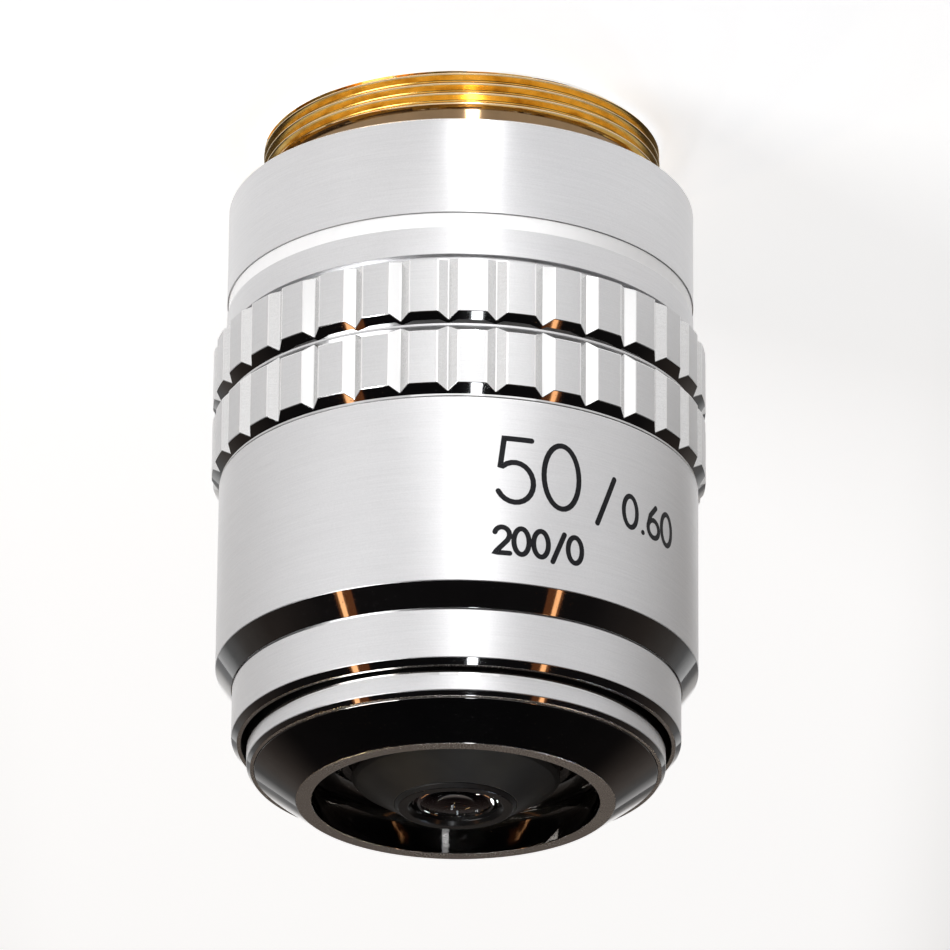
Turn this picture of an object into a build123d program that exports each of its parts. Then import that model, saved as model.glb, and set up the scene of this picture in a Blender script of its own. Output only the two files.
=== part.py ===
from build123d import *
import math
import os

# Microscope objective for bright and dark field, made of turned metal pieces
# round one optical axis. The axis is +Z and the front lens points up. The
# origin is the centre of the mounting shoulder, so the mounting thread lies
# below it. Sizes are in millimetres.

# Play between pieces
fit = 0.03  # radial play of screwed and bonded pieces
slide = 0.06  # radial play of the sliding lens barrel
stop_gap = 0.02  # left at the stop so that its faces don't bind
cement = 0.02  # layer between two cemented lenses

# Mounting thread and its brass body
thread_length = 4.8
thread_lead = 0.45
relief_width = 0.9
relief_depth = 0.6
mount_wall = 1.0
mount_spigot = 5.0

# Upper sleeve and colour band
shoulder_width = 2.2
sleeve_length = 9.6
sleeve_wall = 0.97
sleeve_edge = 0.15
shoulder_recess = 0.25
band_height = 6.65
band_width = 1.05
band_depth = 0.35
band_recess = 0.08

# Grip ring, two rows of flat pads between V grooves
grip_rise = 0.8
grip_neck_length = 0.35
grip_neck_depth = 0.3
grip_entry_length = 0.36
pad_length = 3.62
row_bevel = 0.6
row_floor = 0.13
end_bevel = 0.55
grip_land = 0.12
groove_count = 32
groove_width = 1.32
groove_depth = 0.43
groove_angle = 2.8

# Main barrel, its polished bevel and the collar at its front
barrel_rise = 0.3
barrel_length = 12.65
barrel_edge = 0.12
bevel_length = 1.44
bevel_step = 0.06
seam_width = 0.12
seam_depth = 0.1
collar_step = 1.1
collar_length = 3.31
collar_bevel = 0.39
collar_wall = 0.65
light_step = 0.4

# Carrier, the fixed guide tube on three webs
flange_lip = 0.15
flange_thickness = 2.4
guide_wall = 1.34
light_gap = 2.0
web_count = 3
web_width = 1.6
web_angle = 30.0

# Guide pin and the stop ring behind it
pin_radius = 0.75
pin_offset = 4.6
pin_play = 0.1
slot_floor = 0.5
stop_thickness = 1.6
stop_width = 1.0
stop_height = 3.2
neck_depth = 0.5

# Spring
spring_wire = 0.8
spring_play = 0.45
spring_turns = 4.5
spring_length = 9.5
seat_thickness = 0.6

# Sliding nose, its ring, spider and cone
travel = 1.8
nose_gap = 0.35
nose_stand = 1.41
nose_depth = 9.04
nose_wall = 0.9
nose_bevel_length = 0.3
nose_bevel_depth = 0.25
nose_ledge = 0.23
nose_floor_play = 0.5
spider_lip_length = 0.8
spider_lip_depth = 0.9
spider_thickness = 2.4
spider_hub_wall = 1.57
flange_step = 0.8
flange_length = 1.0
cone_flange = 0.65
cone_proud = 0.05
cone_height = 2.0
cone_run = 2.69
rim_width = 1.0
skirt_wall = 0.97
mirror_height = 2.9
mirror_flare = 0.8
mirror_bulge = 0.12

# Ring lens for the dark field light and its retaining ring
ring_lens_gap = 0.35
ring_lens_edge = 1.2
ring_lens_crown = 0.35
ring_retainer_width = 1.0
ring_retainer_length = 1.0

# Lens barrel. The other radii are built out from its bore.
lens_bore = 6.6
lens_wall = 1.4
barrel_lip_length = 1.9
barrel_front_gap = 0.2
cell_play = 0.05

# Nose cap with the front lens and the lens behind it
cap_step = 0.05
cap_wall = 0.62
cap_shoulder = 1.3
cap_edge = 0.3
cap_tip_drop = 0.05
cell_wall = 1.1
cell_depth = 1.6
cell_proud = 0.45
cell_bevel = 0.25
front_lens_step = 1.4
front_lens_rim = 0.3
front_lens_bulge = 1.6
front_lens_recess = 0.12
front_lens_seat = 0.25
tip_web = 0.4
tip_web_width = 0.7
second_lens_wall = 1.8
second_lens_rim = 1.1
second_lens_hollow = 0.5
second_lens_bulge = 1.4
second_ring_width = 0.45
second_ring_length = 1.2

# Lens groups in the barrel. Each row is a cell: its name, length, outer wall,
# height of the rear lens rim over the cell's end, rim of the rear element, rim
# of the front element, then how far the middle of the rear, cemented and front
# surface stands towards +Z from its rim. A rim of 0 means a single lens.
rear_group = ("rear", 5.0, 1.35, 1.6, 1.2, 1.4, -0.8, 1.1, 0.3)
meniscus_group = ("meniscus", 4.5, 1.55, 1.2, 1.8, 0.0, 0.9, 0.0, 1.2)
middle_group = ("middle", 5.5, 0.95, 1.9, 1.1, 1.3, -1.1, 0.9, 0.9)
upper_group = ("upper", 5.5, 1.15, 1.9, 1.2, 1.2, -1.0, -0.8, 0.9)
lens_seat = 0.6

# Rings between the lens cells, from the rear
lock_inset = 0.2
lock_length = 1.2
lock_width = 1.35
lock_notch = 1.2
rear_spacer_length = 1.6
middle_spacer_length = 2.0
stop_plate_length = 0.6
stop_aperture = 3.4
spacer_wall = 0.9

# Radii that follow from the sizes above, from the lens barrel outwards
lens_barrel_radius = lens_bore + lens_wall
stop_radius = lens_barrel_radius + stop_width
guide_bore = lens_barrel_radius + slide
guide_radius = guide_bore + guide_wall
mount_bore = guide_radius + light_gap
mount_radius = mount_bore + mount_wall
thread_radius = mount_radius + relief_depth
flange_radius = mount_radius + flange_lip
light_radius = mount_bore + light_step
sleeve_radius = thread_radius + shoulder_width
spigot_radius = sleeve_radius - sleeve_wall - fit
grip_radius = sleeve_radius + grip_rise
barrel_radius = sleeve_radius + barrel_rise
collar_radius = barrel_radius - collar_step
front_bore = collar_radius - collar_wall
nose_radius = front_bore - nose_gap
nose_bore = nose_radius - nose_wall
spider_radius = nose_bore - fit
lip_bore = nose_bore - spider_lip_depth
hub_bore = lens_barrel_radius + fit
hub_radius = hub_bore + spider_hub_wall
ledge_bore = nose_radius - nose_bevel_depth - nose_ledge
cone_radius = ledge_bore - fit
skirt_bore = spider_radius - skirt_wall
rim_radius = cone_radius - cone_run
rim_bore = rim_radius - rim_width
mirror_foot = rim_bore + mirror_flare
cap_radius = lens_bore + cap_step
ring_lens_bore = cap_radius + ring_lens_gap
cap_spigot = cap_radius - cap_wall - fit
second_lens_radius = cap_spigot - second_lens_wall
front_lens_radius = second_lens_radius - front_lens_step
cell_radius = front_lens_radius + cell_wall
cell_stack_radius = lens_bore - cell_play
lock_bore = cell_stack_radius - lock_width

# Heights that follow, from the thread to the front
band_top = band_height + band_width
neck_top = sleeve_length + grip_neck_length
row1_rear = neck_top + grip_entry_length
row1_front = row1_rear + pad_length
floor_rear = row1_front + row_bevel
floor_front = floor_rear + row_floor
row2_rear = floor_front + row_bevel
row2_front = row2_rear + pad_length
grip_bevel_front = row2_front + end_bevel
barrel_rear = grip_bevel_front + grip_land
bevel_rear = barrel_rear + barrel_length
bevel_front = bevel_rear + bevel_length
collar_edge = bevel_front + collar_length
collar_front = collar_edge + collar_bevel
flange_front = mount_spigot + flange_thickness
pin_height = flange_front + pin_offset
nose_rear = collar_front - nose_depth
pocket_floor = nose_rear - travel - nose_floor_play
spider_rear = nose_rear + spider_lip_length
spider_front = spider_rear + spider_thickness
band_front = collar_front + nose_stand
ledge_height = band_front + nose_bevel_length
cone_base = ledge_height + cone_proud
rim_height = cone_base + cone_height
mirror_rear = rim_height - mirror_height
ring_lens_rear = mirror_rear - ring_lens_edge
barrel_front = ring_lens_rear - barrel_front_gap
barrel_lip = barrel_front - barrel_lip_length
cap_base = rim_height - cap_shoulder
cell_front = rim_height + cell_proud
cell_rear = cell_front - cell_depth
cap_tip = cell_front - cell_bevel - cap_tip_drop
second_lens_front = cell_rear - tip_web
spring_rear = spider_rear - spring_length
guide_front = spring_rear - seat_thickness
lock_height = stop_height + lock_inset

os.makedirs("parts", exist_ok=True)


def bulge_at(radius, height, distance):
    """Height over its rim of a spherical surface, at a distance from the axis."""
    sphere = (radius**2 + height**2) / (2 * abs(height))
    drop = sphere - math.sqrt(sphere**2 - distance**2)
    return math.copysign(abs(height) - drop, height)


def lens(name, radius, rear, front, rear_bulge, front_bulge):
    """A round lens with its rim from rear to front and a bulge on each side."""
    with BuildPart() as glass:
        with BuildSketch(Plane.XZ):
            with BuildLine():
                Line((0, rear + rear_bulge), (0, front + front_bulge))
                if front_bulge:
                    TangentArc((0, front + front_bulge), (radius, front), tangent=(1, 0))
                else:
                    Line((0, front), (radius, front))
                Line((radius, front), (radius, rear))
                if rear_bulge:
                    TangentArc((0, rear + rear_bulge), (radius, rear), tangent=(1, 0))
                else:
                    Line((0, rear), (radius, rear))
            make_face()
        revolve(axis=Axis.Z)
    glass.part.label = name
    export_step(glass.part, f"parts/{name}.step")


def ring(name, inner, outer, rear, front):
    """A plain turned ring."""
    with BuildPart() as plain:
        with BuildSketch(Plane.XY.offset(rear)):
            Circle(outer)
            Circle(inner, mode=Mode.SUBTRACT)
        extrude(amount=front - rear)
    plain.part.label = name
    export_step(plain.part, f"parts/{name}.step")


# Brass mount. The thread itself is fine and is cut on the plain thread body.
with BuildPart() as thread_mount:
    with BuildSketch(Plane.XZ):
        with BuildLine():
            Polyline(
                (mount_bore, -thread_length),
                (thread_radius - thread_lead, -thread_length),
                (thread_radius, -thread_length + thread_lead),
                (thread_radius, -relief_width),
                (mount_radius, -relief_width),
                (mount_radius, mount_spigot),
                (mount_bore, mount_spigot),
                close=True,
            )
        make_face()
    revolve(axis=Axis.Z)
thread_mount.part.label = "thread_mount"
export_step(thread_mount.part, "parts/thread_mount.step")

# Upper sleeve. Its rear face is the mounting shoulder, recessed round the
# neck so that a plate screwed on over the thread lies flat on it.
with BuildPart() as upper_sleeve:
    with BuildSketch(Plane.XZ):
        with BuildLine():
            Polyline(
                (mount_radius + fit, shoulder_recess),
                (thread_radius + fit, shoulder_recess),
                (thread_radius + fit, 0),
                (sleeve_radius - sleeve_edge, 0),
                (sleeve_radius, sleeve_edge),
                (sleeve_radius, band_height),
                (sleeve_radius - band_depth, band_height),
                (sleeve_radius - band_depth, band_top),
                (sleeve_radius, band_top),
                (sleeve_radius, sleeve_length),
                (spigot_radius + fit, sleeve_length),
                (spigot_radius + fit, mount_spigot),
                (mount_radius + fit, mount_spigot),
                close=True,
            )
        make_face()
    revolve(axis=Axis.Z)
upper_sleeve.part.label = "upper_sleeve"
export_step(upper_sleeve.part, "parts/upper_sleeve.step")

# Colour band that fills the groove of the sleeve
ring("colour_band", sleeve_radius - band_depth + fit, sleeve_radius - band_recess, band_height, band_top)

# Grip ring. The grooves run through both rows, and the bevels cut each pad
# to a trapezium because a groove is shallower than they are.
with BuildPart() as grip_ring:
    with BuildSketch(Plane.XZ):
        with BuildLine():
            Polyline(
                (spigot_radius + fit, sleeve_length),
                (sleeve_radius - grip_neck_depth, sleeve_length),
                (sleeve_radius - grip_neck_depth, neck_top),
                (grip_radius, row1_rear),
                (grip_radius, row1_front),
                (grip_radius - row_bevel, floor_rear),
                (grip_radius - row_bevel, floor_front),
                (grip_radius, row2_rear),
                (grip_radius, row2_front),
                (grip_radius - end_bevel, grip_bevel_front),
                (grip_radius - end_bevel, barrel_rear),
                (spigot_radius + fit, barrel_rear),
                close=True,
            )
        make_face()
    revolve(axis=Axis.Z)
    with BuildSketch(Plane.XY.offset(sleeve_length)):
        with PolarLocations(0, groove_count, start_angle=groove_angle):
            Polygon(
                (grip_radius - groove_depth, 0),
                (grip_radius + groove_depth, groove_width),
                (grip_radius + groove_depth, -groove_width),
                align=None,
            )
    extrude(amount=barrel_rear - sleeve_length, mode=Mode.SUBTRACT)
grip_ring.part.label = "grip_ring"
export_step(grip_ring.part, "parts/grip_ring.step")

# Main barrel with its rear spigot, polished bevel, fine seam and collar. The
# nose slides in the wide pocket at its front.
with BuildPart() as main_barrel:
    with BuildSketch(Plane.XZ):
        with BuildLine():
            Polyline(
                (flange_radius + fit, mount_spigot),
                (spigot_radius, mount_spigot),
                (spigot_radius, barrel_rear),
                (barrel_radius - barrel_edge, barrel_rear),
                (barrel_radius, barrel_rear + barrel_edge),
                (barrel_radius, bevel_rear),
                (collar_radius + bevel_step, bevel_front),
                (collar_radius - seam_depth, bevel_front),
                (collar_radius - seam_depth, bevel_front + seam_width),
                (collar_radius, bevel_front + seam_width),
                (collar_radius, collar_edge),
                (collar_radius - collar_bevel, collar_front),
                (front_bore, collar_front),
                (front_bore, pocket_floor),
                (light_radius, pocket_floor),
                (light_radius, flange_front),
                (flange_radius + fit, flange_front),
                close=True,
            )
        make_face()
    revolve(axis=Axis.Z)
main_barrel.part.label = "main_barrel"
export_step(main_barrel.part, "parts/main_barrel.step")

# Carrier. Its flange is clamped between mount and barrel, and three webs cross
# the annular light path to the guide tube.
with BuildPart() as carrier:
    with BuildSketch(Plane.XY.offset(mount_spigot)):
        Circle(flange_radius)
        Circle(mount_bore, mode=Mode.SUBTRACT)
        with PolarLocations((guide_bore + mount_bore) / 2, web_count, start_angle=web_angle):
            Rectangle(mount_bore - guide_bore + flange_lip, web_width)
    extrude(amount=flange_thickness)
    with BuildSketch(Plane.XY.offset(stop_height + stop_gap)):
        Circle(guide_radius)
    extrude(amount=guide_front - stop_height - stop_gap)
    with BuildSketch(Plane.XY.offset(stop_height + stop_gap)):
        Circle(guide_bore)
    extrude(amount=guide_front - stop_height - stop_gap, mode=Mode.SUBTRACT)
    with BuildSketch(Plane.YZ):
        with Locations((0, pin_height)):
            Circle(pin_radius + fit)
    extrude(amount=guide_radius + fit, mode=Mode.SUBTRACT)
carrier.part.label = "carrier"
export_step(carrier.part, "parts/carrier.step")

# Guide pin that stops the nose from turning
with BuildPart() as guide_pin:
    with BuildSketch(Plane.YZ.offset(lens_bore + slot_floor + pin_play)):
        with Locations((0, pin_height)):
            Circle(pin_radius)
    extrude(amount=guide_radius - lens_bore - slot_floor - pin_play)
guide_pin.part.label = "guide_pin"
export_step(guide_pin.part, "parts/guide_pin.step")

# Washer that carries the rear end of the spring
ring("spring_seat", guide_bore + spring_play, guide_radius, guide_front, spring_rear)

# Compression spring with both ends ground flat
spring_radius = lens_barrel_radius + spring_play + spring_wire / 2
spring_pitch = (spider_rear - spring_rear) / spring_turns
with BuildPart() as spring:
    with BuildLine() as coil:
        Helix(
            pitch=spring_pitch,
            height=spider_rear - spring_rear,
            radius=spring_radius,
            center=(0, 0, spring_rear),
        )
    with BuildSketch(Plane(origin=coil.line @ 0, z_dir=coil.line % 0)):
        Circle(spring_wire / 2)
    sweep(is_frenet=True)
    with BuildSketch(Plane.XY.offset(spring_rear)):
        Circle(spring_radius + spring_wire)
    extrude(amount=spider_rear - spring_rear, mode=Mode.INTERSECT)
spring.part.label = "spring"
export_step(spring.part, "parts/spring.step")

# Lens barrel, the sliding core. The spider hub bears on its flange, and the
# slot takes the guide pin.
with BuildPart() as lens_barrel:
    with BuildSketch(Plane.XZ):
        with BuildLine():
            Polyline(
                (lens_bore, stop_height - stop_thickness),
                (lens_barrel_radius - neck_depth, stop_height - stop_thickness),
                (lens_barrel_radius - neck_depth, stop_height),
                (lens_barrel_radius, stop_height),
                (lens_barrel_radius, spider_front),
                (lens_barrel_radius + flange_step, spider_front),
                (lens_barrel_radius + flange_step, spider_front + flange_length),
                (lens_barrel_radius, spider_front + flange_length),
                (lens_barrel_radius, barrel_front),
                (cap_spigot + fit, barrel_front),
                (cap_spigot + fit, barrel_lip),
                (lens_bore, barrel_lip),
                close=True,
            )
        make_face()
    revolve(axis=Axis.Z)
    with BuildSketch(Plane.YZ.offset(lens_bore + slot_floor)):
        with Locations((0, pin_height + travel / 2)):
            SlotCenterToCenter(travel, 2 * (pin_radius + pin_play), rotation=90)
    extrude(amount=lens_wall, mode=Mode.SUBTRACT)
lens_barrel.part.label = "lens_barrel"
export_step(lens_barrel.part, "parts/lens_barrel.step")

# Stop ring on the rear end of the lens barrel. It meets the guide tube when
# the spring has pushed the nose right out.
stop_rear = stop_height - stop_thickness
ring("stop_ring", lens_barrel_radius - neck_depth + fit, stop_radius, stop_rear, stop_height)

# Spider that carries the nose ring on the lens barrel and lets light past
with BuildPart() as nose_spider:
    with BuildSketch(Plane.XY.offset(spider_rear)):
        Circle(spider_radius)
        Circle(lip_bore, mode=Mode.SUBTRACT)
        with PolarLocations((hub_radius + lip_bore) / 2, web_count, start_angle=web_angle):
            Rectangle(lip_bore - hub_radius + 2 * fit + spider_hub_wall, web_width)
        Circle(hub_radius)
        Circle(hub_bore, mode=Mode.SUBTRACT)
    extrude(amount=spider_thickness)
nose_spider.part.label = "nose_spider"
export_step(nose_spider.part, "parts/nose_spider.step")

# Nose ring with the bevel and the narrow ledge round the cone
with BuildPart() as nose_ring:
    with BuildSketch(Plane.XZ):
        with BuildLine():
            Polyline(
                (lip_bore, nose_rear),
                (nose_radius, nose_rear),
                (nose_radius, band_front),
                (nose_radius - nose_bevel_depth, ledge_height),
                (ledge_bore, ledge_height),
                (ledge_bore, ledge_height - cone_flange),
                (nose_bore, ledge_height - cone_flange),
                (nose_bore, spider_rear),
                (lip_bore, spider_rear),
                close=True,
            )
        make_face()
    revolve(axis=Axis.Z)
nose_ring.part.label = "nose_ring"
export_step(nose_ring.part, "parts/nose_ring.step")

# Front cone. Its hollow side is the mirror of the dark field light, a shallow
# curve that narrows to the rim.
with BuildPart() as front_cone:
    with BuildSketch(Plane.XZ):
        with BuildLine():
            Polyline(
                (mirror_foot, mirror_rear),
                (skirt_bore, mirror_rear),
                (skirt_bore, spider_front),
                (spider_radius, spider_front),
                (spider_radius, ledge_height - cone_flange),
                (cone_radius, ledge_height - cone_flange),
                (cone_radius, cone_base),
                (rim_radius, rim_height),
                (rim_bore, rim_height),
            )
            ThreePointArc(
                (rim_bore, rim_height),
                ((rim_bore + mirror_foot) / 2 + mirror_bulge, (rim_height + mirror_rear) / 2),
                (mirror_foot, mirror_rear),
            )
        make_face()
    revolve(axis=Axis.Z)
front_cone.part.label = "front_cone"
export_step(front_cone.part, "parts/front_cone.step")

# Ring lens of the dark field light, crowned like half a toroid
with BuildPart() as ring_lens:
    ring_lens_radius = skirt_bore - fit
    ring_lens_land = mirror_foot - fit
    with BuildSketch(Plane.XZ):
        with BuildLine():
            Polyline(
                (ring_lens_land, mirror_rear),
                (ring_lens_radius, mirror_rear),
                (ring_lens_radius, ring_lens_rear),
                (ring_lens_bore, ring_lens_rear),
                (ring_lens_bore, mirror_rear),
            )
            ThreePointArc(
                (ring_lens_bore, mirror_rear),
                ((ring_lens_bore + ring_lens_land) / 2, mirror_rear + ring_lens_crown),
                (ring_lens_land, mirror_rear),
            )
        make_face()
    revolve(axis=Axis.Z)
ring_lens.part.label = "ring_lens"
export_step(ring_lens.part, "parts/ring_lens.step")

# Ring that holds the ring lens against the foot of the mirror
ring(
    "ring_retainer",
    ring_lens_radius - ring_retainer_width,
    ring_lens_radius,
    ring_lens_rear - ring_retainer_length,
    ring_lens_rear,
)

# Nose cap, the black cone round the front lens. Its rear spigot screws into
# the lens barrel.
with BuildPart() as nose_cap:
    second_bore = second_lens_radius + fit
    with BuildSketch(Plane.XZ):
        with BuildLine():
            Polyline(
                (second_bore, barrel_lip),
                (cap_spigot, barrel_lip),
                (cap_spigot, barrel_front),
                (cap_radius, barrel_front),
                (cap_radius, cap_base - cap_edge),
                (cap_radius - cap_edge, cap_base),
                (cell_radius + fit + cap_tip_drop, cap_tip),
                (cell_radius + fit, cap_tip),
                (cell_radius + fit, cell_rear),
                (cell_radius - tip_web_width, cell_rear),
                (cell_radius - tip_web_width, second_lens_front),
                (second_bore, second_lens_front),
                close=True,
            )
        make_face()
    revolve(axis=Axis.Z)
nose_cap.part.label = "nose_cap"
export_step(nose_cap.part, "parts/nose_cap.step")

# Cell of the front lens, the small bevelled ring at the very tip
front_seat = cell_front - cell_bevel - front_lens_recess - front_lens_rim
front_opening = front_lens_radius - front_lens_seat
front_bearing = front_seat + bulge_at(front_lens_radius, -front_lens_bulge, front_opening) - fit
with BuildPart() as front_cell:
    with BuildSketch(Plane.XZ):
        with BuildLine():
            Polyline(
                (front_opening, cell_rear),
                (cell_radius, cell_rear),
                (cell_radius, cell_front - cell_bevel),
                (cell_radius - cell_bevel, cell_front),
                (front_lens_radius + cell_bevel, cell_front),
                (front_lens_radius + fit, cell_front - cell_bevel),
                (front_lens_radius + fit, front_bearing),
                (front_opening, front_bearing),
                close=True,
            )
        make_face()
    revolve(axis=Axis.Z)
front_cell.part.label = "front_cell"
export_step(front_cell.part, "parts/front_cell.step")

lens("front_lens", front_lens_radius, front_seat, front_seat + front_lens_rim, -front_lens_bulge, 0)

# Second lens, seated on the web behind the front lens
second_lens_rear = second_lens_front - second_lens_rim
lens(
    "second_lens",
    second_lens_radius,
    second_lens_rear,
    second_lens_front,
    -second_lens_bulge,
    -second_lens_hollow,
)
second_ring_bore = second_lens_radius - second_ring_width
second_ring_front = second_lens_rear - bulge_at(second_lens_radius, second_lens_bulge, second_ring_bore)
ring(
    "second_ring",
    second_ring_bore,
    second_lens_radius,
    second_ring_front - fit - second_ring_length,
    second_ring_front - fit,
)

# Lock ring behind the stack, with two notches for the key that turns it
lock_front = lock_height + lock_length
with BuildPart() as lock_ring:
    with BuildSketch(Plane.XY.offset(lock_height)):
        Circle(cell_stack_radius)
        Circle(lock_bore, mode=Mode.SUBTRACT)
    extrude(amount=lock_length)
    with BuildSketch(Plane.XY.offset(lock_height)):
        Rectangle(2 * cell_stack_radius, lock_notch)
        Circle(lock_bore, mode=Mode.SUBTRACT)
    extrude(amount=lock_length / 2, mode=Mode.SUBTRACT)
lock_ring.part.label = "lock_ring"
export_step(lock_ring.part, "parts/lock_ring.step")


def lens_cell(group, rear):
    """A cell with its single or cemented lens, and the height of its front."""
    name, length, wall, rim_height_in_cell, rim_a, rim_b, rear_bulge, mid_bulge, front_bulge = group
    radius = cell_stack_radius - wall
    rim_rear = rear + rim_height_in_cell
    opening = radius - lens_seat
    seat = rim_rear - fit
    if rear_bulge < 0:
        seat = rim_rear + bulge_at(radius, rear_bulge, opening) - fit
    with BuildPart() as cell:
        with BuildSketch(Plane.XZ):
            with BuildLine():
                Polyline(
                    (opening, rear),
                    (cell_stack_radius, rear),
                    (cell_stack_radius, rear + length),
                    (radius + fit, rear + length),
                    (radius + fit, seat),
                    (opening, seat),
                    close=True,
                )
            make_face()
        revolve(axis=Axis.Z)
    cell.part.label = f"{name}_cell"
    export_step(cell.part, f"parts/{name}_cell.step")
    if rim_b:
        middle = rim_rear + rim_a
        lens(f"{name}_lens_a", radius, rim_rear, middle, rear_bulge, mid_bulge)
        lens(f"{name}_lens_b", radius, middle + cement, middle + cement + rim_b, mid_bulge, front_bulge)
    else:
        lens(f"{name}_lens", radius, rim_rear, rim_rear + rim_a, rear_bulge, front_bulge)
    return rear + length


# The stack of cells and spacers, built up from the lock ring
spacer_bore = cell_stack_radius - spacer_wall
rear_end = lens_cell(rear_group, lock_front)
stop_plate_rear = rear_end + rear_spacer_length
ring("rear_spacer", spacer_bore, cell_stack_radius, rear_end, stop_plate_rear)
stop_plate_front = stop_plate_rear + stop_plate_length
ring("aperture_stop", stop_aperture, cell_stack_radius, stop_plate_rear, stop_plate_front)
meniscus_end = lens_cell(meniscus_group, stop_plate_front)
middle_rear = meniscus_end + middle_spacer_length
ring("middle_spacer", spacer_bore, cell_stack_radius, meniscus_end, middle_rear)
middle_end = lens_cell(middle_group, middle_rear)
upper_rear = barrel_lip - upper_group[1]
ring("upper_spacer", spacer_bore, cell_stack_radius, middle_end, upper_rear)
lens_cell(upper_group, upper_rear)
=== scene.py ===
import math

import bmesh
import bpy
import numpy as np
from mathutils import Matrix, Vector


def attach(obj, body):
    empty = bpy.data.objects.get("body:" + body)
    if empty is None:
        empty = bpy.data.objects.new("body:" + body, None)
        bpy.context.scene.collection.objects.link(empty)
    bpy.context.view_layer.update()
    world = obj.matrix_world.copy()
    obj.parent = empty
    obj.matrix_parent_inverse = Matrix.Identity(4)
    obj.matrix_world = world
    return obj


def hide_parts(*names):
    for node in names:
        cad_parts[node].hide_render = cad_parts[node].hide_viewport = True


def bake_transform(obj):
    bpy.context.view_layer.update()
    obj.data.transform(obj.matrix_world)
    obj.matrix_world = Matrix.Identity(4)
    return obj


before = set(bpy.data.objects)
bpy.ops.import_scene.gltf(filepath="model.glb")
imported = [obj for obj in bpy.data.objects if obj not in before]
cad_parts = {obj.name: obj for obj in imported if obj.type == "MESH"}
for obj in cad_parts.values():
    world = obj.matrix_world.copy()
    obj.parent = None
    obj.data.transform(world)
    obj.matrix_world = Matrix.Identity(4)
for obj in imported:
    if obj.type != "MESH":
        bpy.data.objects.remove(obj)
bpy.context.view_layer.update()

MM = 0.001
TAU = 2 * math.pi
THREAD_SEGMENTS, LATHE_SEGMENTS = 320, 256
FINE_BUMP, BUMP, DEEP_BUMP = 0.00001, 0.00002, 0.00003

# ---------------------------------------------------------------- sizes, mm
# Heights are counted from the mounting shoulder towards the front lens.
R_THREAD, R_NECK, R_BORE = 13.0, 12.4, 11.4
R_SLEEVE, R_GRIP, R_BARREL, R_COLLAR, R_NOSE = 15.2, 16.0, 15.5, 14.4, 13.4
R_SEAT, R_INNER, R_MOUTH = 12.43, 14.23, 13.75
Z_REAR, Z_NECK, Z_SEAT = -4.8, -0.9, 5.0
Z_SLEEVE, Z_PAD1, Z_FLOOR1, Z_FLOOR2, Z_ROW2, Z_PAD2, Z_CONE, Z_BARREL = (
    9.6, 13.93, 14.53, 14.66, 15.26, 18.88, 19.43, 19.55)
Z_BEVEL, Z_COLLAR, Z_LIP, Z_FRONT = 32.20, 33.64, 36.95, 37.34


# ---------------------------------------------------------------- node helpers
class Graph:
    """A small help for writing shader nodes."""

    def __init__(self, tree):
        self.tree = tree
        self.nodes = tree.nodes
        self.nodes.clear()

    def node(self, kind, inputs=None, **settings):
        n = self.nodes.new(kind)
        for key, value in settings.items():
            setattr(n, key, value)
        for key, value in (inputs or {}).items():
            self.put(n, key, value)
        return n

    def put(self, n, key, value):
        """Links a socket to an input, or sets a plain value on it."""
        socket = n.inputs[key]
        if isinstance(value, bpy.types.NodeSocket):
            self.tree.links.new(value, socket)
        else:
            socket.default_value = value

    def math(self, operation, a, b=0.0, clamp=False):
        n = self.node("ShaderNodeMath", {0: a, 1: b}, operation=operation, use_clamp=clamp)
        return n.outputs[0]

    def noise(self, vector, scale, detail, rough):
        n = self.node("ShaderNodeTexNoise", {
            "Vector": vector, "Scale": scale, "Detail": detail, "Roughness": rough})
        return n.outputs["Fac"]

    def ramp(self, factor, stops):
        n = self.node("ShaderNodeValToRGB", {"Fac": factor})
        elements = n.color_ramp.elements
        while len(elements) < len(stops):
            elements.new(0.5)
        for element, (position, color) in zip(elements, stops):
            element.position = position
            element.color = (*color, 1)
        return n.outputs["Color"]

    def span(self, value, low, high):
        """Takes a value of 0 to 1 to the span from low to high."""
        n = self.node("ShaderNodeMapRange", {
            "Value": value, "To Min": low, "To Max": high})
        return n.outputs["Result"]

    def rise(self, value, start, end, top=1.0):
        """Smooth step from 0 at start to top at end."""
        n = self.node("ShaderNodeMapRange", {
            "Value": value, "From Min": start, "From Max": end,
            "To Min": 0.0, "To Max": top}, interpolation_type="SMOOTHSTEP")
        return n.outputs["Result"]

    def mix(self, factor, a, b, blend="MIX"):
        """Mixes two colours, through the colour sockets of the mix node."""
        n = self.node("ShaderNodeMix", data_type="RGBA", blend_type=blend)
        self.put(n, 0, factor)
        self.put(n, 6, a)
        self.put(n, 7, b)
        return n.outputs[2]

    def position(self):
        """Object coordinates in metres."""
        return self.node("ShaderNodeTexCoord").outputs["Object"]

    def split(self, vector):
        return self.node("ShaderNodeSeparateXYZ", {0: vector}).outputs

    def mm(self):
        """Object coordinates in mm."""
        n = self.node("ShaderNodeVectorMath", {0: self.position(), "Scale": 1000.0},
                      operation="SCALE")
        return n.outputs[0]

    def turned(self, mm):
        """Turned coordinates (arc length, height, radius), and the radius alone."""
        mean_radius = 15.0
        x, y, z = self.split(mm)
        radius = self.math("SQRT", self.math(
            "ADD", self.math("MULTIPLY", x, x), self.math("MULTIPLY", y, y)))
        arc = self.math("MULTIPLY", self.math("ARCTAN2", x, y), mean_radius)
        n = self.node("ShaderNodeCombineXYZ", {0: arc, 1: z, 2: radius})
        return n.outputs[0], radius

    def stretch(self, vector, x, y, z):
        n = self.node("ShaderNodeMapping", {"Vector": vector, "Scale": (x, y, z)})
        return n.outputs[0]

    def bump(self, height, strength, distance, normal=None):
        n = self.node("ShaderNodeBump", {
            "Height": height, "Strength": strength, "Distance": distance})
        if normal is not None:
            self.put(n, "Normal", normal)
        return n.outputs[0]


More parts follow.
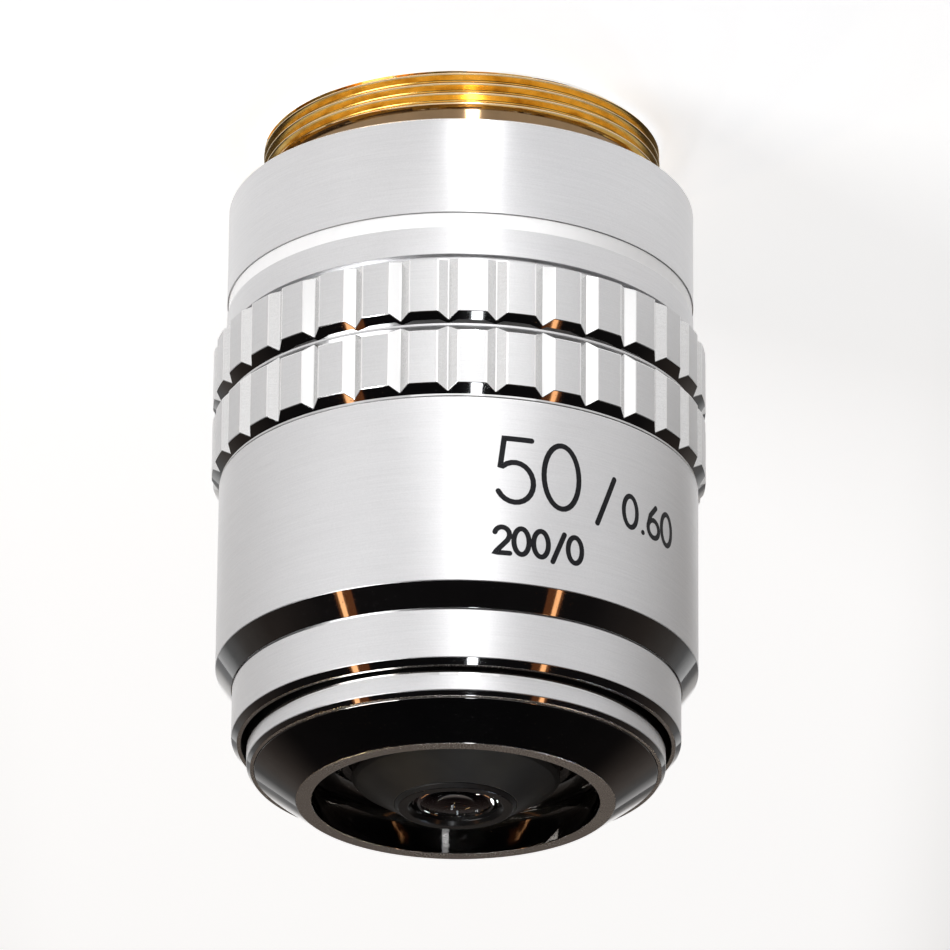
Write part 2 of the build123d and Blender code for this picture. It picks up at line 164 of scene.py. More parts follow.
def material(name):
    m = bpy.data.materials.new(name)
    m.use_nodes = True
    return m, Graph(m.node_tree)


def shader(g, **inputs):
    """The surface shader. An underscore stands for a space in the name of an input."""
    names = {key.replace("_", " "): value for key, value in inputs.items()}
    surface = g.node("ShaderNodeBsdfPrincipled", names)
    out = g.node("ShaderNodeOutputMaterial")
    g.tree.links.new(surface.outputs[0], out.inputs[0])


def times(factor, color):
    return tuple(factor * c for c in color)


def grey(value):
    return (value, value, value)


# ---------------------------------------------------------------- materials
def satin(name, base, rough, grain, brush, tint=(1, 1, 1)):
    """Satin plated metal: fine blasted grain with a faint turned brush over it."""
    m, g = material(name)
    mm = g.mm()
    turned, _ = g.turned(mm)
    fine = g.noise(mm, 9.0, 4.0, 0.7)
    speck = g.noise(mm, 22.0, 2.0, 0.6)
    lines = g.noise(g.stretch(turned, 0.35, 14.0, 3.0), 1.0, 3.0, 0.6)
    cloud = g.noise(mm, 0.22, 2.0, 0.5)
    shade = g.math("ADD", g.math("MULTIPLY", fine, 0.5), g.math("MULTIPLY", lines, 0.5))
    color = g.ramp(shade, [(0.30, times(base * 0.90, tint)), (0.70, times(base * 1.07, tint))])
    color = g.mix(g.span(cloud, 0.0, 0.25), color, (*times(base * 0.86, tint), 1))
    uneven = g.math("MULTIPLY", g.math("SUBTRACT", cloud, 0.5), 0.06)
    roughness = g.math("ADD", g.span(fine, rough - 0.04, rough + 0.05), uneven)
    normal = g.bump(lines, brush, BUMP, g.bump(speck, grain, BUMP))
    shader(g, Base_Color=color, Metallic=1.0, Roughness=roughness, Normal=normal)
    return m


def polished(name, base, rough, tint=(1, 1, 1)):
    """Mirror polished metal with faint turning marks, a slight smear and a few specks."""
    smear = 0.02
    m, g = material(name)
    mm = g.mm()
    turned, _ = g.turned(mm)
    lines = g.noise(g.stretch(turned, 0.25, 20.0, 20.0), 1.0, 2.0, 0.5)
    cloud = g.noise(mm, 0.6, 3.0, 0.6)
    specks = g.ramp(g.noise(mm, 7.0, 1.0, 0.5), [(0.70, grey(0)), (0.76, grey(1))])
    color = g.ramp(cloud, [(0.3, times(base * 0.9, tint)), (0.7, times(base * 1.05, tint))])
    roughness = g.math("ADD", g.span(cloud, rough, rough + smear),
                       g.math("MULTIPLY", specks, 0.12))
    shader(g, Base_Color=color, Metallic=1.0, Roughness=roughness,
           Normal=g.bump(lines, 0.03, FINE_BUMP))
    return m


def brass_thread():
    """Stained turned brass, paler where the crests of the thread are rubbed."""
    m, g = material("brass_thread")
    turned, radius = g.turned(g.mm())
    lines = g.noise(g.stretch(turned, 0.3, 9.0, 9.0), 1.0, 3.0, 0.6)
    stain = g.noise(g.stretch(turned, 0.5, 1.4, 1.0), 1.0, 3.0, 0.6)
    color = g.ramp(stain, [(0.28, (0.52, 0.29, 0.06)), (0.50, (0.80, 0.51, 0.13)),
                           (0.75, (0.86, 0.60, 0.22))])
    over_flank = g.math("SUBTRACT", radius, R_THREAD - 0.07)
    crest = g.math("MULTIPLY", over_flank, 30.0, clamp=True)
    color = g.mix(g.math("MULTIPLY", crest, 0.75), color, (0.86, 0.70, 0.48, 1))
    shader(g, Base_Color=color, Metallic=1.0, Roughness=g.span(lines, 0.16, 0.30),
           Normal=g.bump(lines, 0.12, BUMP))
    return m


def enamel(name, color, dark, rough):
    """Glossy paint with a slight orange peel."""
    m, g = material(name)
    mm = g.mm()
    cloud = g.noise(mm, 1.2, 3.0, 0.6)
    peel = g.noise(mm, 5.0, 2.0, 0.5)
    shade = g.ramp(cloud, [(0.3, dark), (0.7, color)])
    shader(g, Base_Color=shade, Roughness=g.span(cloud, rough, rough + 0.08),
           Normal=g.bump(peel, 0.06, BUMP))
    return m


def black_finish(name, base, rough, grain):
    """Black anodised or oxidised turned metal."""
    m, g = material(name)
    mm = g.mm()
    turned, _ = g.turned(mm)
    lines = g.noise(g.stretch(turned, 0.3, 10.0, 10.0), 1.0, 3.0, 0.6)
    fine = g.noise(mm, 11.0, 3.0, 0.6)
    cloud = g.noise(mm, 0.5, 2.0, 0.5)
    color = g.ramp(cloud, [(0.3, times(base, (0.7, 0.7, 0.78))),
                           (0.7, times(base, (1.3, 1.25, 1.2)))])
    normal = g.bump(lines, 0.10, BUMP, g.bump(fine, grain, BUMP))
    shader(g, Base_Color=color, Roughness=g.span(fine, rough - 0.03, rough + 0.06),
           Normal=normal)
    return m


def glass(name, tint, film):
    """Lens glass. film is the thickness of its coating in nanometres."""
    m, g = material(name)
    haze = g.noise(g.mm(), 2.5, 3.0, 0.6)
    color = g.ramp(haze, [(0.3, tint), (0.7, tuple(min(1.0, t * 1.04) for t in tint))])
    shader(g, Base_Color=color, Roughness=g.span(haze, 0.0, 0.02), IOR=1.72,
           Transmission_Weight=1.0, Thin_Film_Thickness=film, Thin_Film_IOR=1.38)
    return m


def ink():
    """Black filling of the engraved figures."""
    m, g = material("engraving_ink")
    fine = g.noise(g.mm(), 7.0, 3.0, 0.7)
    color = g.ramp(fine, [(0.35, (0.004, 0.004, 0.006)), (0.75, (0.016, 0.016, 0.02))])
    shader(g, Base_Color=color, Roughness=g.span(fine, 0.22, 0.45),
           Normal=g.bump(fine, 0.5, DEEP_BUMP), Specular_IOR_Level=0.15)
    return m


SATIN = satin("satin_plate", 0.66, 0.30, 0.16, 0.10, (1.0, 1.0, 1.015))
SATIN_PAD = satin("satin_pads", 0.63, 0.33, 0.55, 0.02, (1.0, 1.0, 1.01))
WALL = satin("milled_wall", 0.71, 0.24, 0.05, 0.02)
SATIN_EDGE = polished("bright_edge", 0.86, 0.12)
POLISHED = polished("polished_plate", 0.60, 0.035)
LEDGE = satin("turned_front", 0.62, 0.26, 0.05, 0.25, (1.0, 0.93, 0.88))
BRASS = brass_thread()
# The relief under the shoulder is brass darkened as painted shade for its recess.
SHADED_RELIEF = polished("brass_relief_painted_shade", 0.24, 0.12, (1.0, 0.66, 0.36))
SILVER = polished("silvered_lead", 0.84, 0.22, (1.0, 0.97, 0.93))
WHITE = enamel("white_enamel", (0.99, 0.99, 0.99), (0.96, 0.96, 0.965), 0.20)
CONE = polished("polished_cone", 0.42, 0.05, (1.0, 0.97, 0.95))
MIRROR = polished("dark_field_mirror", 0.50, 0.03, (1.0, 0.96, 0.92))
BLACK_SATIN = black_finish("black_satin", 0.016, 0.46, 0.14)
BLACK_GLOSS = black_finish("black_gloss", 0.012, 0.16, 0.05)
BLACK_MATT = black_finish("black_matt", 0.012, 0.55, 0.25)
BLACK_BRASS = black_finish("oxidised_brass", 0.02, 0.40, 0.2)
STEEL = polished("ground_steel", 0.55, 0.22)
SPRING = polished("spring_wire", 0.38, 0.25)
GLASS = glass("coated_glass", (0.97, 0.98, 1.0), 120.0)
GLASS_INNER = glass("inner_glass", (0.96, 0.97, 0.98), 0.0)
INK = ink()


# ---------------------------------------------------------------- mesh helpers
def finish_mesh(name, bm, body, nodes, materials, sharp=5.0):
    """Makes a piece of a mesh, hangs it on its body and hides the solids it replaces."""
    bmesh.ops.remove_doubles(bm, verts=bm.verts, dist=1e-8)
    bmesh.ops.recalc_face_normals(bm, faces=bm.faces)
    mesh = bpy.data.meshes.new(name)
    bm.to_mesh(mesh)
    bm.free()
    for f in mesh.polygons:
        f.use_smooth = True
    mesh.set_sharp_from_angle(angle=math.radians(sharp))
    for m in materials:
        mesh.materials.append(m)
    o = bpy.data.objects.new(name, mesh)
    bpy.context.scene.collection.objects.link(o)
    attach(o, body)
    if nodes:
        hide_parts(*nodes)


def vertex(bm, r, angle, z):
    """A vertex at a radius and height in mm."""
    return bm.verts.new((r * MM * math.cos(angle), r * MM * math.sin(angle), z * MM))


def circle(bm, r, z, segments):
    return [vertex(bm, r, TAU * k / segments, z) for k in range(segments)]


def soften(points, cut, steps=3):
    """Rounds the corners of a closed profile. A point may carry its own cut as a third value."""
    largest_share = 0.4
    out = []
    for i, corner in enumerate(points):
        own = corner[2] if len(corner) > 2 else cut
        a, b, c = (np.array(q[:2], float)
                   for q in (points[i - 1], corner, points[(i + 1) % len(points)]))
        to_a, to_c = np.linalg.norm(a - b), np.linalg.norm(c - b)
        u, v = (a - b) / to_a, (c - b) / to_c
        t = min(own, largest_share * to_a, largest_share * to_c)
        straight = abs(u @ v + 1) < 1e-3
        if t < 1e-4 or straight:
            out.append(tuple(b))
            continue
        start, end = b + u * t, b + v * t
        for k in range(steps + 1):
            s = k / steps
            out.append(tuple((1 - s) ** 2 * start + 2 * s * (1 - s) * b + s * s * end))
    return out


def lathe(name, profile, body, nodes, materials, pick=None,
          segments=LATHE_SEGMENTS, closed=True, sharp=5.0):
    """Turns a profile of (radius, height) in mm round the axis. pick(radius, height) gives the
    material of a band of faces, which is otherwise the first one."""
    bm = bmesh.new()
    rings = []
    for r, z in profile:
        on_axis = r < 1e-6
        rings.append([bm.verts.new((0, 0, z * MM))] * segments if on_axis
                     else circle(bm, r, z, segments))
    count = len(profile)
    for i in range(count if closed else count - 1):
        n = (i + 1) % count
        a, b = rings[i], rings[n]
        index = 0
        if pick:
            index = materials.index(pick((profile[i][0] + profile[n][0]) / 2,
                                         (profile[i][1] + profile[n][1]) / 2))
        for k in range(segments):
            m = (k + 1) % segments
            corners = []
            for v in (a[k], a[m], b[m], b[k]):
                if v not in corners:
                    corners.append(v)
            if len(corners) > 2:
                bm.faces.new(corners).material_index = index
    finish_mesh(name, bm, body, nodes, materials, sharp)


# ---------------------------------------------------------------- mounting thread
# 36 turns to the inch. CREST and ROOT are the flats of the thread form, in half turns.
PITCH, THREAD_DEPTH = 25.4 / 36, 0.43
CREST, ROOT = 0.10, 0.12
ROWS_PER_TURN = 18
THREAD_PHASE = 0.58
Z_RELIEF = -2.0
LEAD_RADIUS, LEAD_HEIGHT = 12.55, 0.45


def thread_depth(phase):
    """Depth of the thread form, with the phase in turns."""
    p = abs((phase % 1.0) - 0.5) * 2
    if p < CREST:
        return 0.0
    if p > 1 - ROOT:
        return THREAD_DEPTH
    return THREAD_DEPTH * (p - CREST) / (1 - ROOT - CREST)


def thread_turns(bm, materials):
    """The turns, cut as one right-handed start. They run out into the relief at the shoulder
    and into the lead at the rear end."""
    last = int(math.ceil((Z_NECK - Z_REAR) / PITCH * ROWS_PER_TURN)) + ROWS_PER_TURN
    rows = []
    for j in range(-ROWS_PER_TURN, last + 1):
        row = []
        for k in range(THREAD_SEGMENTS + 1):
            z = Z_REAR + PITCH * (j / ROWS_PER_TURN + k / THREAD_SEGMENTS)
            z = min(max(z, Z_REAR), Z_NECK)
            phase = (z - Z_REAR) / PITCH - k / THREAD_SEGMENTS - THREAD_PHASE
            r = R_THREAD - thread_depth(phase)
            if z > Z_RELIEF:
                r = max(R_THREAD - THREAD_DEPTH, r - (z - Z_RELIEF) * 4)
            if z < Z_REAR + LEAD_HEIGHT:
                r = LEAD_RADIUS + (z - Z_REAR)
            row.append(vertex(bm, r, TAU * k / THREAD_SEGMENTS, z))
        rows.append(row)
    for a, b in zip(rows, rows[1:]):
        for k in range(THREAD_SEGMENTS):
            corners = (a[k], a[k + 1], b[k + 1], b[k])
            if len({tuple(round(c, 8) for c in v.co) for v in corners}) < 4:
                continue
            f = bm.faces.new(corners)
            z = (a[k].co.z + b[k].co.z) / 2 / MM
            # The faces in the relief get the brass darkened as painted shade.
            if z < Z_REAR + LEAD_HEIGHT:
                f.material_index = materials.index(SILVER)
            elif z > Z_RELIEF + 0.05:
                f.material_index = materials.index(SHADED_RELIEF)


def make_thread():
    materials = [BRASS, SILVER, BLACK_BRASS, SHADED_RELIEF]
    bevel = 0.08
    bm = bmesh.new()
    thread_turns(bm, materials)
    profile = [(LEAD_RADIUS + 0.0001, Z_REAR), (R_BORE + bevel, Z_REAR), (R_BORE, Z_REAR + bevel),
               (R_BORE, Z_SEAT), (R_NECK, Z_SEAT), (R_NECK, Z_NECK + 0.01), (R_THREAD, Z_NECK)]
    looks = [SILVER, SILVER, BLACK_BRASS, BRASS, BRASS, BRASS]
    rings = [circle(bm, r, z, THREAD_SEGMENTS) for r, z in profile]
    for a, b, look in zip(rings, rings[1:], looks):
        for k in range(THREAD_SEGMENTS):
            n = (k + 1) % THREAD_SEGMENTS
            f = bm.faces.new((a[k], a[n], b[n], b[k]))
            f.material_index = materials.index(look)
    finish_mesh("mounting_thread", bm, "housing", ["thread_mount"], materials,
                sharp=12.0)


make_thread()

# ---------------------------------------------------------------- sleeve and white ring
sleeve = soften([
    (R_SEAT, 0.25, 0.0), (13.03, 0.25, 0.0), (13.03, 0.0), (R_SLEEVE - 0.13, 0.0, 0.02),
    (R_SLEEVE, 0.13, 0.02), (R_SLEEVE, 6.65, 0.02), (R_SLEEVE - 0.35, 6.65, 0.0),
    (R_SLEEVE - 0.35, 7.70, 0.0), (R_SLEEVE, 7.70, 0.02), (R_SLEEVE, Z_SLEEVE, 0.03),
    (R_INNER, Z_SLEEVE, 0.0), (R_INNER, Z_SEAT, 0.0), (R_SEAT, Z_SEAT, 0.0)], 0.02)
lathe("upper_sleeve_turned", sleeve, "housing", ["upper_sleeve"], [SATIN, SATIN_EDGE],
      pick=lambda r, z: SATIN_EDGE if z < 0.13 and r > 15.05 else SATIN)

ring = soften([(14.88, 6.66, 0.0), (15.12, 6.66), (15.12, 7.69), (14.88, 7.69, 0.0)], 0.05)
lathe("white_ring", ring, "housing", ["colour_band"], [WHITE])


# ---------------------------------------------------------------- knurled grip
def grip_columns():
    """Angle, radius and look of the columns of points round both rows of pads."""
    grooves, half_width, depth, first = 32, 0.66, 0.43, math.radians(2.8)
    apex, slope = R_GRIP - depth, half_width / depth
    step = TAU / grooves
    lip = math.asin(half_width / R_GRIP)
    edge, root = 0.035 / R_GRIP, 0.03 / R_GRIP
    middle = (lip + root) / 2

    def flank(angle):
        """Radius of the straight side of a groove, at an angle from its middle."""
        return slope * apex / (slope * math.cos(angle) - math.sin(angle))

    pad = [-(step / 2) * (1 - s) - (lip + edge) * s for s in (0.0, 0.3, 0.6, 0.85)]
    groove = [(d, R_GRIP, SATIN_PAD) for d in pad]
    groove += [
        (-lip - edge, R_GRIP, SATIN_EDGE), (edge - lip, flank(lip - edge), WALL),
        (-middle, flank(middle), WALL), (-root, flank(root), SATIN_EDGE),
        (root, flank(root), WALL), (middle, flank(middle), WALL),
        (lip - edge, flank(lip - edge), SATIN_EDGE), (lip + edge, R_GRIP, SATIN_PAD)]
    groove += [(-d, R_GRIP, SATIN_PAD) for d in reversed(pad[1:])]
    return [(first + i * step + d, r, look) for i in range(grooves) for d, r, look in groove]


def make_grip():
    """Two rows of pads between V grooves. Each column of points follows the profile at its
    own radius, so that the grooves also cut the bevels at the ends of the pads."""
    materials = [SATIN_PAD, POLISHED, SATIN, WALL, SATIN_EDGE]
    neck, floor, rear = R_SLEEVE - 0.3, R_GRIP - 0.6, R_GRIP - 0.55
    z_neck, z_slant = 9.95, 0.36
    t = 0.03
    columns = grip_columns()
    bm = bmesh.new()
    rows = []
    for angle, r, _ in columns:
        lower = R_GRIP - r
        z_in = z_neck + z_slant * (r - neck) / (R_GRIP - neck)
        z_out, z_up, z_end = Z_PAD1 + lower, Z_ROW2 - lower, Z_PAD2 + lower
        points = [
            (R_INNER, Z_SLEEVE), (neck, Z_SLEEVE), (neck, z_neck),
            (r - 1.5 * t, z_in - 0.5 * t), (r, z_in + t),
            (r, z_out - t), (r - 0.7 * t, z_out + 0.7 * t), (floor, Z_FLOOR1),
            (floor, Z_FLOOR2), (r - 0.7 * t, z_up - 0.7 * t), (r, z_up + t),
            (r, z_end - t), (r - 0.7 * t, z_end + 0.7 * t), (rear, Z_CONE),
            (rear, Z_BARREL), (R_INNER, Z_BARREL)]
        rows.append([vertex(bm, q, angle, z) for q, z in points])
    of_column = None
    looks = [SATIN, SATIN, SATIN, SATIN_EDGE, of_column, SATIN_EDGE, POLISHED, SATIN,
             SATIN, SATIN_EDGE, of_column, SATIN_EDGE, POLISHED, POLISHED,
             SATIN_PAD, SATIN_PAD]
    for i, a in enumerate(rows):
        b = rows[(i + 1) % len(rows)]
        for j, look in enumerate(looks):
            n = (j + 1) % len(looks)
            f = bm.faces.new((a[j], b[j], b[n], a[n]))
            f.material_index = materials.index(look or columns[i][2])
    finish_mesh("grip_ring_turned", bm, "housing", ["grip_ring"], materials,
                sharp=4.0)


make_grip()

# ---------------------------------------------------------------- barrel
barrel = soften([
    (12.58, Z_SEAT, 0.0), (14.20, Z_SEAT, 0.0), (14.20, Z_BARREL, 0.0),
    (R_BARREL - 0.12, Z_BARREL, 0.02), (R_BARREL, Z_BARREL + 0.12, 0.03),
    (R_BARREL, Z_BEVEL, 0.05), (14.46, Z_COLLAR, 0.02), (14.30, Z_COLLAR, 0.0),
    (14.30, Z_COLLAR + 0.10, 0.0), (R_COLLAR, Z_COLLAR + 0.10, 0.03),
    (R_COLLAR, Z_LIP, 0.04), (14.02, Z_FRONT, 0.03), (R_MOUTH, Z_FRONT, 0.04),
    (R_MOUTH, 26.0, 0.0), (11.8, 26.0, 0.0), (11.8, 7.4, 0.0), (12.58, 7.4, 0.0)], 0.02)


def barrel_look(r, z):
    """Satin outside, with a bright rear edge, polished bevels and a turned front face."""
    if r < R_MOUTH + 0.05 or z < Z_BARREL - 0.01:
        return BLACK_MATT
    if z < Z_BARREL + 0.16:
        return SATIN_EDGE
    if Z_BEVEL + 0.03 < z < Z_COLLAR + 0.05 or (z > Z_LIP + 0.02 and r > 14.02):
        return POLISHED
    return LEDGE if z > Z_FRONT - 0.06 else SATIN


lathe("main_barrel_turned", barrel, "housing", ["main_barrel"],
      [SATIN, POLISHED, SATIN_EDGE, BLACK_MATT, LEDGE], pick=barrel_look)

# ---------------------------------------------------------------- sliding nose
nose = soften([
    (11.6, 28.3, 0.0), (R_NOSE, 28.3, 0.0), (R_NOSE, 37.75, 0.0), (R_NOSE, 38.75, 0.05),
    (13.15, 39.05, 0.03), (12.92, 39.05, 0.02), (12.92, 38.4, 0.0), (12.5, 38.4, 0.0),
    (12.5, 29.1, 0.0), (11.6, 29.1, 0.0)], 0.02)


def nose_look(r, z):
    """Polished where it slides and on its bevel, satin between, a turned front face."""
    if z < 28.4 or r < 12.91:
        return BLACK_MATT
    if z < 37.75 or (38.78 < z < 39.04 and r > 13.16):
        return POLISHED
    return LEDGE if z > 39.0 else SATIN


lathe("nose_ring_turned", nose, "nose", ["nose_ring"], [SATIN, POLISHED, LEDGE, BLACK_MATT],
      pick=nose_look)


def arc_points(a, b, bulge, count):
    """Points of the curve from a to b whose middle stands off by bulge."""
    a, b = np.array(a, float), np.array(b, float)
    middle, along = (a + b) / 2, b - a
    side = np.array([along[1], -along[0]]) / np.linalg.norm(along)
    out = []
    for k in range(count + 1):
        s = 2 * k / count - 1
        out.append(tuple(middle + along / 2 * s + side * bulge * (1 - s * s)))
    return out


cone = soften([
    (10.03, 38.2, 0.0), (11.5, 38.2, 0.0), (11.5, 31.5, 0.0), (12.47, 31.5, 0.0),
    (12.47, 38.4, 0.0), (12.89, 38.4, 0.0), (12.89, 39.10, 0.03), (10.2, 41.10, 0.04),
    (9.2, 41.10, 0.05)], 0.02)
cone += arc_points((9.24, 41.02), (10.0, 38.25), -0.12, 20)


def cone_look(r, z):
    """Polished outside, a turned tip and the hollow mirror inside."""
    if z < 38.3 and r > 10.02:
        return BLACK_MATT
    if z > 41.09:
        return LEDGE
    return MIRROR if r < 10.02 and z < 41.05 else CONE


lathe("front_cone_turned", cone, "nose", ["front_cone"], [CONE, LEDGE, MIRROR, BLACK_MATT],
      pick=cone_look, segments=288)

cap = soften([
    (4.23, 34.9, 0.0), (6.0, 34.9, 0.0), (6.0, 36.8, 0.0), (6.65, 36.8, 0.0),
    (6.65, 39.5, 0.04), (6.35, 39.8, 0.04), (3.98, 41.25, 0.04), (3.93, 41.25, 0.0),
    (3.93, 39.95, 0.0), (3.2, 39.95, 0.0), (3.2, 39.55, 0.0), (4.23, 39.55, 0.0)], 0.02)
lathe("nose_cap_turned", cap, "nose", ["nose_cap"], [BLACK_SATIN, BLACK_MATT],
      pick=lambda r, z: BLACK_MATT if r < 3.94 or z < 36.9 else BLACK_SATIN, segments=224)

cell = soften([
    (2.55, 39.95, 0.0), (3.9, 39.95, 0.0), (3.9, 41.30, 0.04), (3.65, 41.55, 0.05),
    (3.05, 41.55, 0.05), (2.83, 41.30, 0.02), (2.83, 40.49, 0.0), (2.55, 40.49, 0.0)], 0.02)
lathe("front_cell_turned", cell, "nose", ["front_cell"], [BLACK_SATIN, BLACK_GLOSS],
      pick=lambda r, z: BLACK_GLOSS if r < 3.7 else BLACK_SATIN, segments=192)


def dome(radius, rim_z, bulge, count=24):
    """Profile points of a spherical surface from the axis to its rim."""
    sphere = (radius ** 2 + bulge ** 2) / (2 * abs(bulge))
    out = []
    for k in range(count + 1):
        r = radius * k / count
        height = abs(bulge) - sphere + math.sqrt(sphere ** 2 - r * r)
        out.append((r, rim_z + math.copysign(height, bulge)))
    return out


def lens(name, node, radius, rear, front, rear_bulge, front_bulge, look):
    profile = dome(radius, rear, rear_bulge) + dome(radius, front, front_bulge)[::-1]
    lathe(name, profile, "nose", [node], [look],
          segments=160, closed=False, sharp=20.0)


lens("front_lens_glass", "front_lens", 2.8, 40.88, 41.04, -1.6, 0.42, GLASS)
lens("second_lens_glass", "second_lens", 4.2, 38.45, 39.55, -1.4, -0.5, GLASS_INNER)

# ---------------------------------------------------------------- carried solids
for look, nodes in (
        (BLACK_BRASS, ("carrier", "lens_barrel", "stop_ring")),
        (STEEL, ("guide_pin", "spring_seat")),
        (BLACK_MATT, ("nose_spider", "ring_retainer", "second_ring", "rear_spacer",
                      "aperture_stop", "meniscus_cell", "middle_spacer", "middle_cell",
                      "upper_spacer", "upper_cell")),
        (BLACK_SATIN, ("lock_ring", "rear_cell")),
        (GLASS, ("rear_lens_a",)),
        (GLASS_INNER, ("ring_lens", "rear_lens_b", "meniscus_lens", "middle_lens_a",
                       "middle_lens_b", "upper_lens_a", "upper_lens_b"))):
    for node in nodes:
        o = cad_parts[node]
        for s in o.material_slots:
            s.material = look
        if not o.material_slots:
            o.data.materials.append(look)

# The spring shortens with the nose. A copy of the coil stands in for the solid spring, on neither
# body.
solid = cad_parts["spring"]
coil = bpy.data.objects.new("coil_spring", solid.data.copy())
coil.data.transform(solid.matrix_world)
coil.data.materials.clear()
coil.data.materials.append(SPRING)
bpy.context.scene.collection.objects.link(coil)
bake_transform(coil)
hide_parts("spring")


# ---------------------------------------------------------------- engraved figures
def bow(cx, cy, rx, ry, start, end, count):
    """Points of an arc of an ellipse, with its ends in degrees."""
    return [(cx + rx * math.cos(math.radians(a)), cy + ry * math.sin(math.radians(a)))
            for a in np.linspace(start, end, count)]


# The width of each figure and its strokes, on a grid 1 high.
FIGURES = {
    "0": (0.68, [bow(0.30, 0.5, 0.26, 0.46, 0, 360, 33)]),
    "2": (0.66, [bow(0.30, 0.70, 0.25, 0.26, 165, -20, 16)
                 + [(0.48, 0.50), (0.06, 0.04), (0.56, 0.04)]]),
    "5": (0.66, [[(0.52, 0.96), (0.14, 0.96), (0.09, 0.56)]
                 + bow(0.29, 0.33, 0.26, 0.29, 130, -150, 20)]),
    "6": (0.66, [bow(0.31, 0.30, 0.25, 0.26, 90, -270, 24),
                 [(0.07, 0.36), (0.16, 0.66), (0.42, 0.96)]]),
    "/": (0.56, [[(0.04, -0.06), (0.46, 0.98)]]),
    ".": (0.30, [[(0.13, 0.04), (0.135, 0.045)]]),
}


def unit(vector):
    return vector / (np.linalg.norm(vector) + 1e-12)


def across(vector):
    return np.array([-vector[1], vector[0]])


def ribbon(bm, line, half, place):
    """A stroke as a flat inlay that follows place(x, y). An open one has round ends."""
    spacing, cap_steps = 0.12, 8
    corners = [np.array(p, float) for p in line]
    pts = [corners[0]]
    for a, b in zip(corners, corners[1:]):
        n = max(1, int(np.linalg.norm(b - a) / spacing))
        pts += [a + (b - a) * (k + 1) / n for k in range(n)]
    left, right = [], []
    for i, p in enumerate(pts):
        before = p - pts[i - 1] if i else pts[1] - p
        after = pts[i + 1] - p if i + 1 < len(pts) else p - pts[i - 1]
        u = unit(before)
        n = across(unit(u + unit(after)))
        spread = min(half / max(0.35, abs(n @ across(u))), half * 1.5)
        left.append(p + n * spread)
        right.append(p - n * spread)
    shut = np.linalg.norm(pts[0] - pts[-1]) < 1e-6
    if shut:
        left, right = left[:-1], right[:-1]
    a, b = ([bm.verts.new(place(x, y)) for x, y in side] for side in (left, right))
    for k in range(len(a) if shut else len(a) - 1):
        n = (k + 1) % len(a)
        bm.faces.new((a[k], a[n], b[n], b[k]))
    if shut:
        return
    for end, inner in ((0, 1), (-1, -2)):
        centre = pts[end]
        away = unit(centre - pts[inner])
        side = across(away)
        if (left[end] - centre) @ side < 0:
            side = -side
        hub = bm.verts.new(place(*centre))
        fan = [a[end]]
        for k in range(1, cap_steps):
            angle = math.pi * k / cap_steps
            q = centre + side * half * math.cos(angle) + away * half * math.sin(angle)
            fan.append(bm.verts.new(place(*q)))
        fan.append(b[end])
        for p, q in zip(fan, fan[1:]):
            bm.faces.new((hub, p, q))


def engrave(name, text, left, base, height, stroke):
    """Figures on the barrel. left is the arc from the front line and base the height of the
    foot line, both in mm, read with the thread end up."""
    r = (R_BARREL + 0.006) * MM

    def place(x, y):
        angle = -math.pi / 2 - x / R_BARREL
        return r * math.cos(angle), r * math.sin(angle), (base - y) * MM

    bm = bmesh.new()
    x = left
    for figure in text:
        width, lines = FIGURES[figure]
        for line in lines:
            ribbon(bm, [(x + px * height, py * height) for px, py in line], stroke / 2, place)
        x += width * height
    finish_mesh(name, bm, "housing", [], [INK], sharp=30.0)


engrave("engraved_large", "50", 2.2, 26.9, 4.7, 0.36)
engrave("engraved_slash", "/", 9.2, 26.9, 3.2, 0.36)
engrave("engraved_small", "0.60", 11.4, 26.7, 2.3, 0.34)
engrave("engraved_below", "200/0", 2.2, 30.3, 1.9, 0.34)


# ---------------------------------------------------------------- floor
def make_floor():
    """A pale floor that glows as painted light, dimmed as painted shade at the two sides behind
    the object and far away.
    """
    m, g = material("pale_floor_painted_glow")
    position = g.position()
    color = g.ramp(g.noise(position, 6.0, 3.0, 0.5), [(0.3, grey(0.90)), (0.7, grey(0.93))])
    x, y, _ = g.split(position)
    behind = g.rise(y, -0.06, 0.06)
    # Painted shade: the glow is dimmed behind the object at its sides, more towards -X.
    sides = g.math("ADD", g.rise(x, 0.030, 0.060, 0.22), g.rise(x, -0.030, -0.060, 0.44))
    painted_glow = g.math("SUBTRACT", 0.69, g.math("MULTIPLY", behind, sides))
    far = g.node("ShaderNodeVectorMath", {0: position}, operation="LENGTH").outputs["Value"]
    # Painted falloff: the glow fades with the distance from the object.
    painted_glow = g.math("MULTIPLY", painted_glow, g.math("SUBTRACT", 1.0, g.rise(far, 0.14, 0.5, 0.6)))
    shader(g, Base_Color=color, Roughness=0.7, Emission_Color=(0.975, 0.985, 1, 1),
           Emission_Strength=painted_glow)
    mesh = bpy.data.meshes.new("floor")
    bm = bmesh.new()
    bmesh.ops.create_grid(bm, x_segments=8, y_segments=8, size=4.0)
    bm.to_mesh(mesh)
    bm.free()
    mesh.materials.append(m)
    o = bpy.data.objects.new("floor", mesh)
    o.location = (0, 0, Z_REAR * MM - 0.00002)
    bpy.context.scene.collection.objects.link(o)


make_floor()


